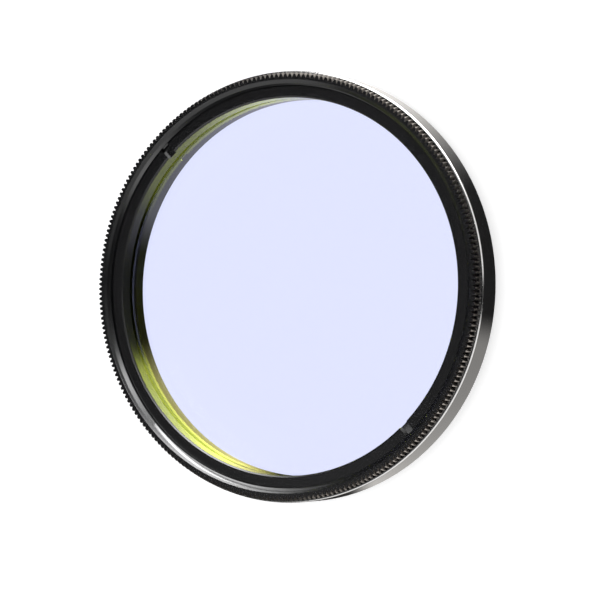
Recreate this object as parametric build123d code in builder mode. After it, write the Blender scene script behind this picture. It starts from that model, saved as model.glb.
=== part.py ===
from build123d import *
import os
from math import pi

# Threaded two-inch filter: a turned cell, a glass plate and the ring that holds it.
# It lies on the end of its male thread. Z runs along the optical axis, and z = 0 is the rear face.

# Fine thread of both ends, M48 x 0.75, drawn as plain cylinders at its crests.
# Round the screwed-in ring the inner thread stands at its roots, to leave the ring its own crests.
thread_radius = 24.0
thread_pitch = 0.75
outer_thread_depth = 0.6134 * thread_pitch
inner_thread_depth = 0.5413 * thread_pitch

# Cell outside, from the rear face to the front
thread_length = 2.3
thread_chamfer = 0.3
relief_width = 0.35  # run-out groove at the shoulder
relief_extra = 0.1  # how much deeper it is than the thread
relief_undercut = 0.05  # into the shoulder, so that a mate seats flat
shoulder_width = 1.3  # from the thread out to the smooth band
band_height = 3.65
band_rear_bevel = 0.1
band_front_bevel = 0.2
groove_width = 0.1  # fine groove between the band and the rim
rim_height = 1.0

# Serrated rim
tooth_count = 260
tooth_depth = 0.5
tip_flat = 0.05  # width of a tooth's tip
tip_inset = 0.25  # the tips stay inside the smooth band
rim_taper_height = 0.43
rim_taper = 25.0  # degrees, towards the front

# Cell inside, from the front face to the rear
countersink = 0.58  # 45 degrees, at the mouth of the inner thread
ring_recess = 0.95  # from the front face down to the ring
thread_runout = 0.2  # the inner thread goes on past the glass face, so the ring bears on glass alone
pocket_step = 0.49  # from the inner thread's crests in to the glass pocket
pocket_clearance = 0.1  # round the glass
lip_width = 0.65  # how far the lip reaches under the glass
lip_chamfer = 0.15

# Glass plate
glass_thickness = 2.0
glass_chamfer = 0.15

# Retaining ring
ring_height = 1.7
ring_width = 1.79
ring_clearance = 0.05  # in the inner thread, all round and above
ring_bore_chamfer = 0.17
ring_outer_chamfer = 0.1
slot_width = 1.15  # spanner slots
slot_depth = 0.5
slot_count = 2
slot_angle = 134.5  # of the first slot, from +X towards +Y

# Radii that follow
relief_radius = thread_radius - outer_thread_depth - relief_extra
band_radius = thread_radius + shoulder_width
tip_radius = band_radius - tip_inset
root_radius = tip_radius - tooth_depth
inner_thread_radius = thread_radius - inner_thread_depth
countersink_radius = inner_thread_radius + countersink
pocket_radius = inner_thread_radius - pocket_step
glass_radius = pocket_radius - pocket_clearance
lip_radius = glass_radius - lip_width
ring_radius = thread_radius - ring_clearance
ring_bore_radius = ring_radius - ring_width

# Levels that follow
band_top = thread_length + band_height
rim_bottom = band_top + groove_width
total_height = rim_bottom + rim_height
ring_top = total_height - ring_recess
glass_top = ring_top - ring_height
lip_height = glass_top - glass_thickness

# Cell, machined from one blank
with BuildPart() as filter_cell:
    # Turned outside: male thread, shoulder, smooth band, fine groove
    with BuildSketch(Plane.XZ):
        with BuildLine():
            Polyline(
                (0, 0),
                (thread_radius - thread_chamfer, 0),
                (thread_radius, thread_chamfer),
                (thread_radius, thread_length - relief_width),
                (relief_radius, thread_length - relief_width),
                (relief_radius, thread_length + relief_undercut),
                (thread_radius + relief_undercut, thread_length + relief_undercut),
                (thread_radius + relief_undercut, thread_length),
                (band_radius - band_rear_bevel, thread_length),
                (band_radius, thread_length + band_rear_bevel),
                (band_radius, band_top - band_front_bevel),
                (band_radius - band_front_bevel, band_top),
                (root_radius, band_top),
                (root_radius, rim_bottom),
                (0, rim_bottom),
                close=True,
            )
        make_face()
    revolve(axis=Axis.Z)

    # Rim blank: one small flat for each tooth, tapered at the front
    with BuildSketch(Plane.XY.offset(rim_bottom)):
        RegularPolygon(tip_radius, tooth_count, major_radius=False)
    extrude(amount=rim_height - rim_taper_height)
    with BuildSketch(Plane.XY.offset(total_height - rim_taper_height)):
        RegularPolygon(tip_radius, tooth_count, major_radius=False)
    extrude(amount=rim_taper_height, taper=rim_taper)

    # Serrations: a V groove at each corner of the blank, straight along the axis
    groove_reach = tooth_depth + tip_flat  # just past the corners
    groove_half_width = (pi * tip_radius / tooth_count - tip_flat / 2) * groove_reach / tooth_depth
    with BuildSketch(Plane.XY.offset(rim_bottom - groove_width / 2)):
        with PolarLocations(root_radius, tooth_count):
            Polygon(
                (0, 0),
                (groove_reach, groove_half_width),
                (groove_reach, -groove_half_width),
                align=None,
            )
    extrude(amount=rim_height + groove_width, mode=Mode.SUBTRACT)

    # Bored inside: lip, glass pocket, female thread, countersink
    with BuildSketch(Plane.XZ):
        with BuildLine():
            Polyline(
                (0, 0),
                (lip_radius + lip_chamfer, 0),
                (lip_radius, lip_chamfer),
                (lip_radius, lip_height - lip_chamfer),
                (lip_radius + lip_chamfer, lip_height),
                (pocket_radius, lip_height),
                (pocket_radius, glass_top - thread_runout),
                (thread_radius, glass_top - thread_runout),
                (thread_radius, ring_top + ring_clearance),
                (inner_thread_radius, ring_top + ring_clearance),
                (inner_thread_radius, total_height - countersink),
                (countersink_radius, total_height),
                (0, total_height),
                close=True,
            )
        make_face()
    revolve(axis=Axis.Z, mode=Mode.SUBTRACT)

# Glass plate on the cell's lip
with BuildPart() as filter_glass:
    with BuildSketch(Plane.XY.offset(lip_height)):
        Circle(glass_radius)
    extrude(amount=glass_thickness)
    chamfer(filter_glass.edges().filter_by(GeomType.CIRCLE), length=glass_chamfer)

# Retaining ring, screwed down on the glass
with BuildPart() as retaining_ring:
    with BuildSketch(Plane.XZ):
        with BuildLine():
            Polyline(
                (ring_bore_radius, glass_top),
                (ring_radius - ring_outer_chamfer, glass_top),
                (ring_radius, glass_top + ring_outer_chamfer),
                (ring_radius, ring_top - ring_outer_chamfer),
                (ring_radius - ring_outer_chamfer, ring_top),
                (ring_bore_radius + ring_bore_chamfer, ring_top),
                (ring_bore_radius, ring_top - ring_bore_chamfer),
                close=True,
            )
        make_face()
    revolve(axis=Axis.Z)

    # Spanner slots, milled right across the ring's face
    slot_length = ring_width + 2 * slot_width  # past both edges
    with BuildSketch(Plane.XY.offset(ring_top - slot_depth)):
        with PolarLocations(ring_radius - ring_width / 2, slot_count, start_angle=slot_angle):
            Rectangle(slot_length, slot_width)
    extrude(amount=2 * slot_depth, mode=Mode.SUBTRACT)

# One STEP file for each piece
filter_cell.part.label = "filter_cell"
filter_glass.part.label = "filter_glass"
retaining_ring.part.label = "retaining_ring"
os.makedirs("parts", exist_ok=True)
export_step(filter_cell.part, "parts/filter_cell.step")
export_step(filter_glass.part, "parts/filter_glass.step")
export_step(retaining_ring.part, "parts/retaining_ring.step")
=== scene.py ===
from math import floor, pi, radians, tan

import bmesh
import bpy
from mathutils import Matrix, Vector


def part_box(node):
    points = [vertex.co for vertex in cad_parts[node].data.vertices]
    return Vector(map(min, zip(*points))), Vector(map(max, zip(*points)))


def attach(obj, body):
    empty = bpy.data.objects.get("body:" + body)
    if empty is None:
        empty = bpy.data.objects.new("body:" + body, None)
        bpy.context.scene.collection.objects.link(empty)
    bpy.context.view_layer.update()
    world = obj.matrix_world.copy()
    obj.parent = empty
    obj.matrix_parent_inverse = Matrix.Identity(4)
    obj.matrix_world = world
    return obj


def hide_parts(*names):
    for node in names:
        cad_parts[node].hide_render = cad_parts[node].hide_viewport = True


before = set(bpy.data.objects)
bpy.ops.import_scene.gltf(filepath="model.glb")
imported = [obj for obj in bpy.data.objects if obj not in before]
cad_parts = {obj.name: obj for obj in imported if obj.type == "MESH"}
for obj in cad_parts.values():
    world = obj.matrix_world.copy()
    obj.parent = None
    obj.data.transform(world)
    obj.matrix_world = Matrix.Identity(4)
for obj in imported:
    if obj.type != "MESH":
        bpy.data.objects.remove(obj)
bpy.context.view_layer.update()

mm = 0.001  # sizes below are in millimetres, as a workshop drawing gives them
scene = bpy.context.scene
scene.view_settings.view_transform = "Standard"


# Levels and radii that the frame gives, in millimetres
def nodeRadius(node):
    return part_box(node)[1][0] / mm


def nodeLevels(node):
    low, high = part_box(node)
    return low[2] / mm, high[2] / mm


bandRadius = nodeRadius("filter_cell")
rearLevel, frontLevel = nodeLevels("filter_cell")
glassRadius = nodeRadius("filter_glass")
lipLevel, glassTop = nodeLevels("filter_glass")
ringRadius = nodeRadius("retaining_ring")
ringTop = nodeLevels("retaining_ring")[1]


# Camera: beside the filter's axis, as in the photo, and looking down on it as it lies
cameraChoices = {
    "distance": 300.0,  # from the middle of the front face
    "turn": 27.55,  # degrees from the axis towards +X
    "nod": 1.66,  # degrees towards -Y
    "right": -2.31,  # where the middle of the front face stands in the picture
    "up": 1.63,
    "lens": 154.2,
    "sensor": 36.0,
    "clipStart": 10.0,
}


def makeCamera(choices):
    data = bpy.data.cameras.new("photoCamera")
    data.lens = choices["lens"]
    data.sensor_width = choices["sensor"]
    data.clip_start = choices["clipStart"] * mm
    camera = bpy.data.objects.new("photoCamera", data)
    scene.collection.objects.link(camera)
    turned = Matrix.Rotation(radians(-choices["turn"]), 3, "Y")
    nodded = Matrix.Rotation(radians(-choices["nod"]), 3, "X")
    toFilter = (turned @ nodded).transposed()
    middle = Vector((choices["right"], choices["up"], -choices["distance"]))
    eye = (toFilter @ -middle + Vector((0, 0, frontLevel))) * mm
    camera.matrix_world = Matrix.Translation(eye) @ toFilter.to_4x4()
    scene.camera = camera


makeCamera(cameraChoices)
print("camera placed")


# Short words for node trees
def plug(tree, socket, value):
    if isinstance(value, bpy.types.NodeSocket):
        tree.links.new(value, socket)
    else:
        socket.default_value = value


def addNode(tree, kind, inputs=None, **settings):
    node = tree.nodes.new(kind)
    for name, value in settings.items():
        setattr(node, name, value)
    for key, value in (inputs or {}).items():
        plug(tree, node.inputs[key], value)
    return node


def calc(tree, operation, *values):
    node = addNode(tree, "ShaderNodeMath", operation=operation)
    for socket, value in zip(node.inputs, values):
        plug(tree, socket, value)
    return node.outputs[0]


def between(tree, value, low, high):
    return calc(tree, "MINIMUM", calc(tree, "MAXIMUM", value, low), high)


def choose(tree, share, first, second):
    # first where share is 0, second where it is 1
    return calc(tree, "MULTIPLY_ADD", calc(tree, "SUBTRACT", second, first), share, first)


def softStep(tree, value, start, end):
    # rises softly from 0 at start to 1 at end
    node = addNode(tree, "ShaderNodeMapRange", interpolation_type="SMOOTHSTEP")
    for name, number in (("Value", value), ("From Min", start), ("From Max", end)):
        plug(tree, node.inputs[name], number)
    return node.outputs[0]


def mixColours(tree, share, first, second):
    mixed = addNode(tree, "ShaderNodeMixRGB", {"Fac": share, "Color1": first, "Color2": second})
    return mixed.outputs[0]


# Threads. A section row of a thread climbs by one pitch round the part, so its flanks are true helices.
threadChoices = {
    "pitch": 0.75,
    "crest": 24.0,  # M48
    "maleDepth": 0.6134,  # of the pitch
    "femaleDepth": 0.5413,
    "narrowFlat": 0.125,  # of the pitch: a male crest and a female root
    "phase": 0.12,  # of a turn, which sets where the thread runs out at the countersink
    "flankAngle": 30.0,  # degrees, half of the angle between two flanks
}
pitch = threadChoices["pitch"]
flankTan = tan(radians(threadChoices["flankAngle"]))


def plain(radius, level):
    return {"radius": radius, "level": level}


def threadCorners(tall, depth, low, high):
    # corners of the thread along one line, each with its level, its radius and
    # how the radius changes with the level from there to the next corner
    flatHalf = threadChoices["narrowFlat"] / 2
    flank = depth * flankTan / pitch
    halfTurn = 0.5
    steps = (
        (halfTurn - flatHalf - flank, depth, 1 / flankTan),
        (halfTurn - flatHalf, 0, 0),
        (halfTurn + flatHalf, 0, -1 / flankTan),
        (halfTurn + flatHalf + flank, depth, 0),
    )
    firstTurn = floor((low - pitch) / pitch) - 1  # with turns to spare at both ends
    lastTurn = floor(high / pitch) + 2
    corners = []
    for turn in range(firstTurn, lastTurn + 1):
        for place, cut, slope in steps:
            level = (turn + place - threadChoices["phase"]) * pitch
            corners.append((level, tall - cut, slope))
    return corners


def threadRows(tall, depth, low, high, mouth, mouthSlope, male):
    # tall is the larger radius, of a male crest or a female root. mouth and mouthSlope give
    # the 45 degree cone that ends the thread, as its radius at level 0 and how that changes.
    shape = {"tall": tall, "depth": depth, "low": low, "high": high,
             "mouth": mouth, "mouthSlope": mouthSlope, "male": 1.0 if male else 0.0}
    corners = threadCorners(tall, depth, low, high)
    coneLow, coneHigh = sorted(((tall - mouth) / mouthSlope, (tall - depth - mouth) / mouthSlope))
    rows = []
    for (level, radius, slope), (nextLevel, _, _) in zip(corners, corners[1:]):
        if nextLevel < low - pitch or level > high:
            continue
        row = {"radius": radius, "level": level, "slope": slope, **shape}
        rows.append(row)
        if level < coneHigh and nextLevel + pitch > coneLow:
            rows.append({**row, "span": nextLevel - level})  # where this stretch meets the cone
    rows.append({**rows[-1], "level": nextLevel, "span": 0.0})
    return rows


# Eased edges: a corner (radius, level) becomes three points, so that the edge catches light,
# with one more on each side, so that the faces beside it still shade flat.
easeChoices = {
    "mostOfSide": 0.25,  # the most that an eased edge takes of the side next to it
    "support": 0.5,  # of the eased edge's size, from it to the point that keeps the face flat
}


def easeEdges(corners, size):
    points = []
    for index, corner in enumerate(corners):
        here = Vector(corner)
        if index in (0, len(corners) - 1):
            points.append(here)
            continue
        before = Vector(corners[index - 1]) - here
        after = Vector(corners[index + 1]) - here
        stepBack = before.normalized() * min(size, before.length * easeChoices["mostOfSide"])
        stepOn = after.normalized() * min(size, after.length * easeChoices["mostOfSide"])
        start = here + stepBack
        end = here + stepOn
        halfway = (start + end) / 2
        points += [start + easeChoices["support"] * stepBack, start, (here + halfway) / 2,
                   end, end + easeChoices["support"] * stepOn]
    return [plain(*point) for point in points]


# A section is a row of points, each with these values. The tree below turns it into a closed part.
rowNames = ("radius", "level", "tooth", "tall", "depth", "low", "high", "mouth", "mouthSlope",
            "male", "slope", "span")
turnedSockets = {
    "Section": "NodeSocketGeometry",
    "Columns": "NodeSocketInt",
    "Pitch": "NodeSocketFloat",
    "Thread Phase": "NodeSocketFloat",
    "Narrow Flat": "NodeSocketFloat",
    "Flank Tangent": "NodeSocketFloat",
    "Tooth Root Radius": "NodeSocketFloat",
    "Tooth Gap Slope": "NodeSocketFloat",
    "Unit": "NodeSocketFloat",
    "Finish": "NodeSocketMaterial",
}
weldDistance = 0.0005  # millimetres
columnsPerTooth = 3
sharpAngle = 32  # degrees, so that eased edges shade smooth and thread flanks stay crisp


def makeSection(name, rows):
    mesh = bpy.data.meshes.new(name)
    mesh.from_pydata([(0, 0, 0)] * len(rows), [], [])
    for rowName in rowNames:
        layer = mesh.attributes.new(rowName, "FLOAT", "POINT")
        for index, row in enumerate(rows):
            layer.data[index].value = row.get(rowName, 0.0)
    section = bpy.data.objects.new(name, mesh)
    scene.collection.objects.link(section)
    return section


def sampleRow(tree, section, row):
    # the values of the section's point that a point of the grid stands for
    value = {}
    for name in rowNames:
        field = addNode(tree, "GeometryNodeInputNamedAttribute", {"Name": name}, data_type="FLOAT")
        sample = addNode(tree, "GeometryNodeSampleIndex", data_type="FLOAT", domain="POINT")
        plug(tree, sample.inputs["Geometry"], section)
        plug(tree, sample.inputs["Value"], field.outputs["Attribute"])
        plug(tree, sample.inputs["Index"], row)
        value[name] = sample.outputs["Value"]
    return value


def climbThread(tree, group, value, turn, isThread):
    # level of a thread's row here, cut off at the cone and at the thread's two ends
    climb = calc(tree, "MULTIPLY", calc(tree, "MULTIPLY", turn, group["Pitch"]), isThread)
    base = calc(tree, "ADD", value["level"], climb)
    reach = calc(tree, "SUBTRACT", calc(tree, "SUBTRACT", value["radius"], value["mouth"]),
                 calc(tree, "MULTIPLY", value["slope"], base))
    meet = calc(tree, "DIVIDE", reach, calc(tree, "SUBTRACT", value["mouthSlope"], value["slope"]))
    meet = between(tree, meet, base, calc(tree, "ADD", base, value["span"]))
    cutOff = between(tree, meet, value["low"], value["high"])
    return choose(tree, isThread, value["level"], cutOff)


def cutThread(tree, group, value, turn, isThread, level):
    # radius of the thread at that level, never past the cone
    phase = calc(tree, "SUBTRACT", group["Thread Phase"], turn)
    turns = calc(tree, "ADD", calc(tree, "DIVIDE", level, group["Pitch"]), phase)
    off = calc(tree, "ABSOLUTE", calc(tree, "SUBTRACT", calc(tree, "FRACT", turns), 0.5))  # from the flat
    offFlat = calc(tree, "SUBTRACT", off, calc(tree, "DIVIDE", group["Narrow Flat"], 2))
    flank = calc(tree, "MULTIPLY", value["depth"], group["Flank Tangent"])
    cut = calc(tree, "DIVIDE", calc(tree, "MULTIPLY", offFlat, group["Pitch"]), flank)
    cut = calc(tree, "MULTIPLY", between(tree, cut, 0, 1), value["depth"])
    radius = calc(tree, "SUBTRACT", value["tall"], cut)
    cone = calc(tree, "MULTIPLY_ADD", value["mouthSlope"], level, value["mouth"])
    radius = choose(tree, value["male"], calc(tree, "MAXIMUM", radius, cone),
                    calc(tree, "MINIMUM", radius, cone))
    return choose(tree, isThread, value["radius"], radius)


def cutTeeth(tree, group, value, column, turn, radius):
    # three columns for each tooth: one at the bottom of the V and one at each edge of the tip
    tooth = calc(tree, "ROUND", calc(tree, "DIVIDE", column, columnsPerTooth))
    middle = calc(tree, "MULTIPLY", tooth, columnsPerTooth)
    side = calc(tree, "SUBTRACT", column, middle)
    onTip = calc(tree, "MULTIPLY", calc(tree, "ABSOLUTE", side), value["tooth"])
    inGap = calc(tree, "SUBTRACT", value["tooth"], onTip)
    radius = choose(tree, inGap, radius, group["Tooth Root Radius"])
    cutDepth = calc(tree, "SUBTRACT", radius, group["Tooth Root Radius"])
    gapHalf = calc(tree, "MULTIPLY", cutDepth, group["Tooth Gap Slope"])
    evenAngle = calc(tree, "MULTIPLY", turn, 2 * pi)
    gapAngle = calc(tree, "MULTIPLY", calc(tree, "DIVIDE", middle, group["Columns"]), 2 * pi)
    toothAngle = calc(tree, "MULTIPLY_ADD", side, calc(tree, "DIVIDE", gapHalf, radius), gapAngle)
    return radius, choose(tree, value["tooth"], evenAngle, toothAngle)


def makeTurnedTree():
    # columns of the grid go round the axis, rows go along the section
    tree = bpy.data.node_groups.new("turnedPart", "GeometryNodeTree")
    inputs = {}
    for name, kind in turnedSockets.items():
        inputs[name] = tree.interface.new_socket(name, in_out="INPUT", socket_type=kind).identifier
    tree.interface.new_socket("Part", in_out="OUTPUT", socket_type="NodeSocketGeometry")
    group = addNode(tree, "NodeGroupInput").outputs
    out = addNode(tree, "NodeGroupOutput")

    section = group["Section"]
    count = addNode(tree, "GeometryNodeAttributeDomainSize", {"Geometry": section}, component="MESH")
    rowCount = count.outputs["Point Count"]
    down = calc(tree, "ADD", rowCount, 1)  # the first row comes again at the end, to close the section
    across = calc(tree, "ADD", group["Columns"], 1)  # and so does the first column
    grid = addNode(tree, "GeometryNodeMeshGrid", {"Vertices X": across, "Vertices Y": down})
    index = addNode(tree, "GeometryNodeInputIndex").outputs[0]
    midIndex = calc(tree, "ADD", index, 0.5)  # so that a rounding error can't change the column
    column = calc(tree, "FLOOR", calc(tree, "DIVIDE", midIndex, down))
    inColumn = calc(tree, "SUBTRACT", index, calc(tree, "MULTIPLY", column, down))
    row = calc(tree, "MODULO", inColumn, rowCount)

    value = sampleRow(tree, section, row)
    turn = calc(tree, "DIVIDE", column, group["Columns"])
    isThread = calc(tree, "GREATER_THAN", value["depth"], 0)
    level = climbThread(tree, group, value, turn, isThread)
    radius = cutThread(tree, group, value, turn, isThread, level)
    radius, angle = cutTeeth(tree, group, value, column, turn, radius)

    wide = calc(tree, "MULTIPLY", radius, group["Unit"])
    place = addNode(tree, "ShaderNodeCombineXYZ", {
        "X": calc(tree, "MULTIPLY", wide, calc(tree, "COSINE", angle)),
        "Y": calc(tree, "MULTIPLY", wide, calc(tree, "SINE", angle)),
        "Z": calc(tree, "MULTIPLY", level, group["Unit"]),
    }).outputs[0]
    placed = addNode(tree, "GeometryNodeSetPosition", {
        "Geometry": grid.outputs["Mesh"],
        "Position": place,
    }).outputs[0]
    welded = addNode(tree, "GeometryNodeMergeByDistance", {
        "Geometry": placed,
        "Distance": calc(tree, "MULTIPLY", group["Unit"], weldDistance),
    }).outputs[0]
    real = addNode(tree, "GeometryNodeRealizeInstances", {"Geometry": welded}).outputs[0]
    finished = addNode(tree, "GeometryNodeSetMaterial", {
        "Geometry": real,
        "Material": group["Finish"],
    }).outputs[0]
    tree.links.new(finished, out.inputs[0])
    return tree, inputs


turnedTree, turnedInputs = makeTurnedTree()
print("turned part tree built")


def takeResult(piece):
    # the evaluated piece becomes a plain mesh without modifiers
    depsgraph = bpy.context.evaluated_depsgraph_get()
    mesh = bpy.data.meshes.new_from_object(piece.evaluated_get(depsgraph))
    piece.modifiers.clear()
    piece.data = mesh
    mesh.name = piece.name


def closeMesh(piece):
    mesh = piece.data
    work = bmesh.new()
    work.from_mesh(mesh)
    bmesh.ops.dissolve_degenerate(work, edges=work.edges, dist=weldDistance * mm)
    bmesh.ops.recalc_face_normals(work, faces=work.faces)
    if work.calc_volume(signed=True) < 0:
        bmesh.ops.reverse_faces(work, faces=work.faces)
    bmesh.ops.delete(work, geom=[edge for edge in work.edges if edge.is_wire], context="EDGES")
    openEdges = sum(not edge.is_manifold for edge in work.edges)
    work.to_mesh(mesh)
    work.free()
    mesh.shade_smooth()
    mesh.set_sharp_from_angle(angle=radians(sharpAngle))
    for name in [layer.name for layer in mesh.attributes if layer.name in rowNames]:
        mesh.attributes.remove(mesh.attributes[name])
    mesh.calc_loop_triangles()
    print(f"{piece.name}: {len(mesh.loop_triangles)} triangles, {openEdges} open edges")


def turnPart(name, rows, columns, finish, toothRoot=0.0, toothGapSlope=0.0):
    piece = makeSection(name, rows)
    modifier = piece.modifiers.new("turned", "NODES")
    modifier.node_group = turnedTree
    settings = {
        "Columns": columns,
        "Pitch": pitch,
        "Thread Phase": threadChoices["phase"],
        "Narrow Flat": threadChoices["narrowFlat"],
        "Flank Tangent": flankTan,
        "Tooth Root Radius": toothRoot,
        "Tooth Gap Slope": toothGapSlope,
        "Unit": mm,
        "Finish": finish,
    }
    for inputName, setting in settings.items():
        modifier[turnedInputs[inputName]] = setting
    takeResult(piece)
    closeMesh(piece)
    return piece


# Finish: black anodised aluminium with the marks of the lathe
blackChoices = {
    "colour": (0.0052, 0.0052, 0.0058, 1.0),
    "darker": 0.8,  # shares of that colour, in soft clouds
    "lighter": 1.25,
    "cloudSize": 6.0,
    "cloudDetail": 3.0,
    "roughness": 0.19,
    "roughnessChange": 0.08,
    "ior": 1.6,
    "markSpacing": 0.045,  # millimetres between turning marks
    "markDepth": 0.0003,
    "markDetail": 3.0,
    "markUneven": 0.6,
    "grainSize": 0.02,
    "grainDepth": 0.00025,
    "grainDetail": 2.0,
}
bevelHighlightChoices = {
    "colour": (0.86, 0.85, 0.84, 1.0),  # painted highlight: bright metal on the black bevel, so that it shows as a white line
    "roughness": 0.16,
}
toothSheenChoices = {
    "colour": (0.30, 0.28, 0.262, 1.0),  # painted sheen: lighter metal on the teeth, so that their flanks show bright
    "roughness": 0.33,
}
zoneMargin = 0.005  # millimetres by which a finish reaches past its edge


def axisPlace(tree):
    # a point's coordinates, its distance from the optical axis and its level, both in millimetres
    coords = addNode(tree, "ShaderNodeTexCoord").outputs["Object"]
    split = addNode(tree, "ShaderNodeSeparateXYZ", {0: coords}).outputs
    squareX = calc(tree, "MULTIPLY", split["X"], split["X"])
    squares = calc(tree, "MULTIPLY_ADD", split["Y"], split["Y"], squareX)
    radius = calc(tree, "DIVIDE", calc(tree, "SQRT", squares), mm)
    level = calc(tree, "DIVIDE", split["Z"], mm)
    return coords, radius, level


def inZone(tree, value, low, high):
    return calc(tree, "MULTIPLY", calc(tree, "GREATER_THAN", value, low),
                calc(tree, "LESS_THAN", value, high))


def bump(tree, height, depth, **more):
    inputs = {"Height": height, "Distance": depth * mm, "Strength": 1.0, **more}
    return addNode(tree, "ShaderNodeBump", inputs).outputs[0]


def blackAnodise(name, paintedLightZones=()):
    # each zone has its radii, its levels and the brighter metal that takes the place of the black there: a
    # painted highlight on the bevel and a painted sheen on the teeth
    choices = blackChoices
    material = bpy.data.materials.new(name)
    material.use_nodes = True
    tree = material.node_tree
    shader = tree.nodes["Principled BSDF"]
    coords, radius, level = axisPlace(tree)

    alongMarks = addNode(tree, "ShaderNodeCombineXYZ", {"X": radius, "Y": level}).outputs[0]
    marks = addNode(tree, "ShaderNodeTexNoise", {
        "Vector": alongMarks,
        "Scale": 1 / choices["markSpacing"],
        "Detail": choices["markDetail"],
        "Roughness": choices["markUneven"],
    }, noise_dimensions="2D").outputs[0]
    grain = addNode(tree, "ShaderNodeTexNoise", {
        "Vector": coords,
        "Scale": 1 / (choices["grainSize"] * mm),
        "Detail": choices["grainDetail"],
    }).outputs[0]
    cloud = addNode(tree, "ShaderNodeTexNoise", {
        "Vector": coords,
        "Scale": 1 / (choices["cloudSize"] * mm),
        "Detail": choices["cloudDetail"],
    }).outputs[0]

    leastRough = choices["roughness"] - choices["roughnessChange"] / 2
    roughness = calc(tree, "MULTIPLY_ADD", marks, choices["roughnessChange"], leastRough)
    dark, light = ([choices[key] * part for part in choices["colour"][:3]] + [1.0]
                   for key in ("darker", "lighter"))
    colour = mixColours(tree, cloud, dark, light)
    metal = 0.0
    for radii, levels, finish in paintedLightZones:
        share = calc(tree, "MULTIPLY", inZone(tree, radius, *radii), inZone(tree, level, *levels))
        colour = mixColours(tree, share, colour, finish["colour"])
        roughness = choose(tree, share, roughness, finish["roughness"])
        metal = calc(tree, "ADD", share, metal)
    plug(tree, shader.inputs["Metallic"], metal)
    plug(tree, shader.inputs["Base Color"], colour)
    plug(tree, shader.inputs["Roughness"], roughness)
    plug(tree, shader.inputs["IOR"], choices["ior"])

    markBump = bump(tree, marks, choices["markDepth"])
    grainBump = bump(tree, grain, choices["grainDepth"], Normal=markBump)
    plug(tree, shader.inputs["Normal"], grainBump)
    return material


# Cell: one turned piece, with a male thread behind, a serrated rim and a female thread in front
cellChoices = {
    "threadChamfer": 0.3,
    "threadLength": 2.3,
    "reliefWidth": 0.35,
    "reliefExtra": 0.1,
    "reliefUndercut": 0.05,
    "bandHeight": 3.65,
    "bandRearBevel": 0.1,
    "bandFrontBevel": 0.2,
    "bevelFrom": 25.17,  # the painted highlight of bright metal starts at this radius
    "grooveWidth": 0.1,
    "toothCount": 260,
    "toothDepth": 0.62,
    "tipFlat": 0.05,
    "tipInset": 0.25,
    "taperHeight": 0.43,
    "taper": 25.0,
    "countersink": 0.58,
    "threadRunout": 0.2,
    "pocketClearance": 0.1,
    "lipWidth": 0.65,
    "lipChamfer": 0.15,
    "edge": 0.03,
}
cellBandTop = cellChoices["threadLength"] + cellChoices["bandHeight"]


def makeCell(choices):
    crest = threadChoices["crest"]
    maleDepth = threadChoices["maleDepth"] * pitch
    femaleDepth = threadChoices["femaleDepth"] * pitch
    tipRadius = bandRadius - choices["tipInset"]
    rootRadius = tipRadius - choices["toothDepth"]
    gapHalf = pi * tipRadius / choices["toothCount"] - choices["tipFlat"] / 2
    shoulder = choices["threadLength"]
    reliefStart = shoulder - choices["reliefWidth"]
    reliefEnd = shoulder + choices["reliefUndercut"]
    reliefRadius = crest - maleDepth - choices["reliefExtra"]
    undercutRadius = crest + choices["reliefUndercut"]
    rimBottom = cellBandTop + choices["grooveWidth"]
    taperStart = frontLevel - choices["taperHeight"]
    taperRadius = tipRadius - choices["taperHeight"] * tan(radians(choices["taper"]))
    boreRadius = crest - femaleDepth
    sinkRadius = boreRadius + choices["countersink"]
    threadEnd = glassTop - choices["threadRunout"]
    pocketRadius = glassRadius + choices["pocketClearance"]
    lipRadius = glassRadius - choices["lipWidth"]
    lipChamfer = choices["lipChamfer"]
    bevel = choices["bandFrontBevel"]

    rows = [plain(lipRadius + lipChamfer, rearLevel)]
    rows += threadRows(crest, maleDepth, rearLevel, reliefStart, crest - choices["threadChamfer"], 1.0,
                       male=True)
    rows += [plain(reliefRadius, reliefStart),
             plain(reliefRadius, reliefEnd),
             plain(undercutRadius, reliefEnd),
             plain(undercutRadius, shoulder)]
    rows += easeEdges([(undercutRadius, shoulder),
                       (bandRadius - choices["bandRearBevel"], shoulder),
                       (bandRadius, shoulder + choices["bandRearBevel"]),
                       (bandRadius, cellBandTop - bevel),
                       (bandRadius - bevel, cellBandTop),
                       (rootRadius, cellBandTop)], choices["edge"])[1:]
    rows += [plain(rootRadius, rimBottom)]
    rows += [{**plain(tipRadius, rimBottom), "tooth": 1.0},
             {**plain(tipRadius, taperStart), "tooth": 1.0},
             {**plain(taperRadius, frontLevel), "tooth": 1.0}]
    rows += easeEdges([(rootRadius, frontLevel),
                       (sinkRadius, frontLevel),
                       (boreRadius, frontLevel - choices["countersink"])], choices["edge"])[:-1]
    easedTop = rows[-1]["level"]
    femaleRows = threadRows(crest, femaleDepth, threadEnd, easedTop, sinkRadius - frontLevel, 1.0,
                            male=False)
    rows += femaleRows[::-1]
    rows += [plain(pocketRadius, threadEnd),
             plain(pocketRadius, lipLevel),
             plain(lipRadius + lipChamfer, lipLevel),
             plain(lipRadius, lipLevel - lipChamfer),
             plain(lipRadius, rearLevel + lipChamfer)]

    # painted highlight: the bevel gets bright metal in place of the black
    bevelHighlightZone = ((choices["bevelFrom"], bandRadius + zoneMargin),
                 (cellBandTop - bevel + zoneMargin, cellBandTop + zoneMargin), bevelHighlightChoices)
    # painted sheen: the teeth get lighter metal in place of the black
    toothSheenZone = ((rootRadius - zoneMargin, tipRadius + zoneMargin),
             (rimBottom - zoneMargin, frontLevel - zoneMargin), toothSheenChoices)
    finish = blackAnodise("cellBlack", (bevelHighlightZone, toothSheenZone))
    columns = columnsPerTooth * choices["toothCount"]
    return turnPart("turnedCell", rows, columns, finish, rootRadius, gapHalf / choices["toothDepth"])


cell = makeCell(cellChoices)
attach(cell, "root")
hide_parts("filter_cell")
print("cell turned")


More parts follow.
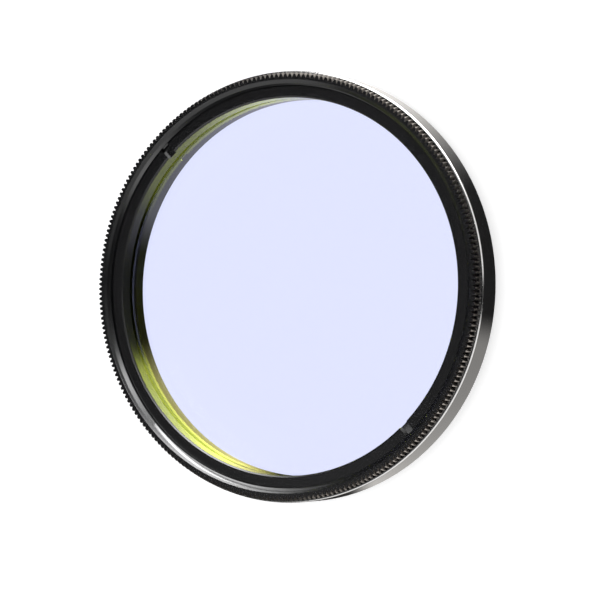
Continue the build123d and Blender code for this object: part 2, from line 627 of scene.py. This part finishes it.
# Retaining ring: threaded outside, with two spanner slots milled across its face
ringChoices = {
    "width": 1.79,
    "boreChamfer": 0.17,
    "outerChamfer": 0.1,
    "slotWidth": 1.15,
    "slotDepth": 0.5,
    "slotCount": 2,
    "slotAngle": 134.5,  # degrees
    "columns": 480,
    "edge": 0.03,
}


def makeSlotCutter(boreRadius, angle, finish, choices):
    work = bmesh.new()
    bmesh.ops.create_cube(work, size=1.0)
    length = 3 * choices["width"]  # a ring's width past each edge
    height = 2 * choices["slotDepth"]  # half of it above the ring
    middle = Vector((boreRadius + choices["width"] / 2, 0, ringTop)) * mm
    turned = Matrix.Rotation(angle, 4, "Z")
    scaled = Matrix.Diagonal((length * mm, choices["slotWidth"] * mm, height * mm, 1.0))
    placed = turned @ Matrix.Translation(middle) @ scaled
    bmesh.ops.transform(work, matrix=placed, verts=work.verts)
    mesh = bpy.data.meshes.new("slotCutter")
    work.to_mesh(mesh)
    work.free()
    mesh.materials.append(finish)  # so that the cut faces get it too
    cutter = bpy.data.objects.new("slotCutter", mesh)
    scene.collection.objects.link(cutter)
    return cutter


def makeRing(choices):
    boreRadius = ringRadius - choices["width"]
    depth = threadChoices["maleDepth"] * pitch
    chamfer = choices["outerChamfer"]
    rootRadius = ringRadius - depth - chamfer
    rows = [plain(boreRadius, glassTop), plain(rootRadius, glassTop)]
    rows += threadRows(ringRadius, depth, glassTop + chamfer, ringTop, ringRadius - chamfer + ringTop, -1.0,
                       male=True)
    rows += easeEdges([(rootRadius, ringTop),
                       (boreRadius + choices["boreChamfer"], ringTop),
                       (boreRadius, ringTop - choices["boreChamfer"]),
                       (boreRadius, glassTop)], choices["edge"])[:-1]
    finish = blackAnodise("ringBlack")
    ring = turnPart("slottedRing", rows, choices["columns"], finish)
    cutters = []
    for number in range(choices["slotCount"]):
        angle = radians(choices["slotAngle"] + 360 / choices["slotCount"] * number)
        cutters.append(makeSlotCutter(boreRadius, angle, finish, choices))
    for cutter in cutters:
        modifier = ring.modifiers.new("slot", "BOOLEAN")
        modifier.operation = "DIFFERENCE"
        modifier.solver = "EXACT"
        modifier.object = cutter
    takeResult(ring)
    for cutter in cutters:
        bpy.data.objects.remove(cutter)
    closeMesh(ring)
    return ring


ring = makeRing(ringChoices)
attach(ring, "root")
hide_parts("retaining_ring")
print("ring turned and slotted")


# Glass: a coated plate, pale lavender to look through and yellow-green where it mirrors
glassChoices = {
    "edgeBevel": 0.15,
    "seatGap": 0.004,  # air under the plate and under the ring
    "columns": 360,
    "ior": 1.52,
    "through": (0.854, 0.872, 0.995, 1.0),  # what each face lets through
    "mirror": (0.225, 0.262, 0.03, 1.0),  # what the coated front mirrors
    "backMirror": (0.03, 0.03, 0.03, 1.0),
}


def coatedGlass(choices):
    material = bpy.data.materials.new("coatedGlass")
    material.use_nodes = True
    tree = material.node_tree
    tree.nodes.remove(tree.nodes["Principled BSDF"])
    out = tree.nodes["Material Output"]
    level = axisPlace(tree)[2]
    clear = addNode(tree, "ShaderNodeBsdfRefraction", {
        "Color": choices["through"],
        "Roughness": 0.0,
        "IOR": choices["ior"],
    }).outputs[0]
    inFront = calc(tree, "GREATER_THAN", level, (glassTop + lipLevel) / 2)
    tint = mixColours(tree, inFront, choices["backMirror"], choices["mirror"])
    mirror = addNode(tree, "ShaderNodeBsdfAnisotropic", {"Color": tint, "Roughness": 0.0}).outputs[0]
    both = addNode(tree, "ShaderNodeAddShader", {0: clear, 1: mirror}).outputs[0]
    tree.links.new(both, out.inputs["Surface"])
    return material


def makeGlass(choices):
    bevel = choices["edgeBevel"]
    low = lipLevel + choices["seatGap"]
    high = glassTop - choices["seatGap"]
    rows = [plain(0.0, low),
            plain(glassRadius - bevel, low),
            plain(glassRadius, low + bevel),
            plain(glassRadius, high - bevel),
            plain(glassRadius - bevel, high),
            plain(0.0, high)]
    return turnPart("coatedPlate", rows, choices["columns"], coatedGlass(choices))


glass = makeGlass(glassChoices)
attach(glass, "root")
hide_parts("filter_glass")
print("glass plate made")


# Studio: a pale floor and a soft even sky. Mirrors see light boxes and dark cards instead of the even sky.
# Angles are in degrees, and wide and tall are halves. The soft values are the blur of the edges.
skyChoices = {
    "even": 1.0,
    "low": 0.92,  # mirrored surroundings near the horizon
    "high": 0.03,  # and overhead
    "highFrom": 27.0,  # elevation
    "highTo": 34.0,
}
softBoxes = (
    {"azimuth": 88.0, "elevation": 8.0, "wide": 27.0, "tall": 15.0,
     "softWide": 27.0, "softTall": 4.0, "strength": 9.5},
    {"azimuth": 92.0, "elevation": 62.0, "wide": 44.0, "tall": 9.0,
     "softWide": 9.0, "softTall": 4.0, "strength": 12.5},
    {"azimuth": 255.0, "elevation": 62.0, "wide": 55.0, "tall": 9.0,
     "softWide": 15.0, "softTall": 4.0, "strength": 3.0},
    {"azimuth": 95.0, "elevation": 38.0, "wide": 24.0, "tall": 4.5,
     "softWide": 8.0, "softTall": 2.5, "strength": 34.0},
)
darkCards = (
    {"azimuth": -2.5, "wide": 8.0, "soft": 2.5},
    {"azimuth": 160.0, "wide": 35.0, "soft": 20.0},
)


def lightPath(tree):
    return addNode(tree, "ShaderNodeLightPath").outputs


def bandMask(tree, angle, middle, half, soft):
    # 1 inside the band of angles round its middle, 0 outside
    offset = calc(tree, "WRAP", calc(tree, "SUBTRACT", angle, radians(middle)), pi, -pi)
    return softStep(tree, calc(tree, "ABSOLUTE", offset), radians(half + soft), radians(half - soft))


def mirroredSky(tree, azimuth, elevation, choices):
    rise = softStep(tree, elevation, radians(choices["highFrom"]), radians(choices["highTo"]))
    light = choose(tree, rise, choices["low"], choices["high"])
    for box in softBoxes:
        across = bandMask(tree, azimuth, box["azimuth"], box["wide"], box["softWide"])
        upright = bandMask(tree, elevation, box["elevation"], box["tall"], box["softTall"])
        mask = calc(tree, "MULTIPLY", across, upright)
        light = calc(tree, "MULTIPLY_ADD", mask, box["strength"], light)
    for card in darkCards:
        across = bandMask(tree, azimuth, card["azimuth"], card["wide"], card["soft"])
        mask = calc(tree, "MULTIPLY", across, calc(tree, "SUBTRACT", 1, rise))
        light = calc(tree, "MULTIPLY", light, calc(tree, "SUBTRACT", 1, mask))
    return light


def makeSky(choices):
    world = bpy.data.worlds.new("studioSky")
    scene.world = world
    world.use_nodes = True
    world.cycles.sampling_method = "NONE"
    tree = world.node_tree
    background = tree.nodes["Background"]
    background.inputs["Color"].default_value = (1.0, 1.0, 1.0, 1.0)
    direction = addNode(tree, "ShaderNodeTexCoord").outputs["Generated"]
    split = addNode(tree, "ShaderNodeSeparateXYZ", {0: direction}).outputs
    azimuth = calc(tree, "ARCTAN2", split["Y"], split["X"])
    elevation = calc(tree, "ARCSINE", split["Z"])
    mirrored = mirroredSky(tree, azimuth, elevation, choices)
    path = lightPath(tree)
    notThrough = calc(tree, "SUBTRACT", 1, path["Is Transmission Ray"])
    onlyMirror = calc(tree, "MULTIPLY", path["Is Glossy Ray"], notThrough)
    light = choose(tree, onlyMirror, choices["even"], mirrored)
    tree.links.new(light, background.inputs["Strength"])


floorChoices = {
    "size": 3.0,  # metres
    "drop": 0.02,  # millimetres under the filter
    "colour": (0.9, 0.9, 0.9, 1.0),
    "glow": 0.5,
    "seenThrough": 1.0,  # strength of the white that shows through the glass
    "mirrored": 0.05,
    "mirroredTint": (1.0, 0.97, 0.93, 1.0),
    "boreShade": 18.0,  # radius within which the floor under the glass is hardly mirrored
    "boreSoft": 0.5,
    "lipFrom": 20.8,  # outside this radius lies what the lip under the glass mirrors
    "lipTint": (1.0, 0.88, 0.25, 1.0),  # on the side towards -Y
}
# what a wall mirrors of the floor: outside the filter, under its glass and beside the lip
floorLights = (
    {"azimuth": 66.0, "wide": 21.0, "soft": 18.0, "strength": 1.7},
    {"azimuth": 318.0, "wide": 30.0, "soft": 5.0, "strength": 1.2},
)
boreLights = (
    {"azimuth": 125.0, "wide": 42.0, "soft": 8.0, "strength": 0.5},
    {"azimuth": 234.0, "wide": 27.0, "soft": 11.0, "strength": 0.95},
)
lipLights = (
    {"azimuth": 120.0, "wide": 42.0, "soft": 8.0, "strength": 1.1},
    {"azimuth": 229.0, "wide": 25.0, "soft": 9.0, "strength": 3.2},
)


def addLights(tree, azimuth, lights):
    total = 0.0
    for light in lights:
        mask = bandMask(tree, azimuth, light["azimuth"], light["wide"], light["soft"])
        total = calc(tree, "MULTIPLY_ADD", mask, light["strength"], total)
    return total


def mirroredFloor(tree, choices):
    coords, radius, _ = axisPlace(tree)
    split = addNode(tree, "ShaderNodeSeparateXYZ", {0: coords}).outputs
    azimuth = calc(tree, "ARCTAN2", split["Y"], split["X"])
    beside = calc(tree, "ADD", addLights(tree, azimuth, floorLights), choices["mirrored"])
    nearLip = calc(tree, "GREATER_THAN", radius, choices["lipFrom"])
    under = choose(tree, nearLip, addLights(tree, azimuth, boreLights), addLights(tree, azimuth, lipLights))
    nearWall = softStep(tree, radius, choices["boreShade"] - choices["boreSoft"],
                        choices["boreShade"] + choices["boreSoft"])
    under = calc(tree, "MULTIPLY_ADD", under, nearWall, choices["mirrored"])
    underGlass = calc(tree, "LESS_THAN", radius, glassRadius)
    strength = choose(tree, underGlass, beside, under)
    lipFloor = calc(tree, "MULTIPLY", nearLip, underGlass)
    warm = calc(tree, "MULTIPLY", lipFloor, calc(tree, "LESS_THAN", azimuth, 0))
    tint = mixColours(tree, warm, choices["mirroredTint"], choices["lipTint"])
    return addNode(tree, "ShaderNodeEmission", {"Color": tint, "Strength": strength}).outputs[0]


def paintFloor(choices):
    material = bpy.data.materials.new("studioFloor")
    material.use_nodes = True
    material.cycles.emission_sampling = "NONE"
    tree = material.node_tree
    tree.nodes.remove(tree.nodes["Principled BSDF"])
    out = tree.nodes["Material Output"]
    path = lightPath(tree)
    notDiffuse = calc(tree, "SUBTRACT", 1, path["Is Diffuse Ray"])
    afterMirror = calc(tree, "MULTIPLY", calc(tree, "MINIMUM", path["Glossy Depth"], 1), notDiffuse)
    paint = addNode(tree, "ShaderNodeBsdfDiffuse", {"Color": choices["colour"]}).outputs[0]
    glow = addNode(tree, "ShaderNodeEmission", {"Strength": choices["glow"]}).outputs[0]
    lit = addNode(tree, "ShaderNodeAddShader", {0: glow, 1: paint}).outputs[0]
    white = addNode(tree, "ShaderNodeEmission", {"Strength": choices["seenThrough"]}).outputs[0]
    seen = addNode(tree, "ShaderNodeMixShader", {
        0: path["Is Transmission Ray"],
        1: lit,
        2: white,
    }).outputs[0]
    surface = addNode(tree, "ShaderNodeMixShader", {
        0: afterMirror,
        1: seen,
        2: mirroredFloor(tree, choices),
    }).outputs[0]
    tree.links.new(surface, out.inputs["Surface"])
    return material


def makeFloor(choices):
    half = choices["size"] / 2
    level = -choices["drop"] * mm
    corners = [(-half, -half, level), (half, -half, level), (half, half, level), (-half, half, level)]
    mesh = bpy.data.meshes.new("studioFloor")
    mesh.from_pydata(corners, [], [(0, 1, 2, 3)])
    mesh.materials.append(paintFloor(choices))
    floorPlane = bpy.data.objects.new("studioFloor", mesh)
    scene.collection.objects.link(floorPlane)


makeSky(skyChoices)
makeFloor(floorChoices)
print("studio set")
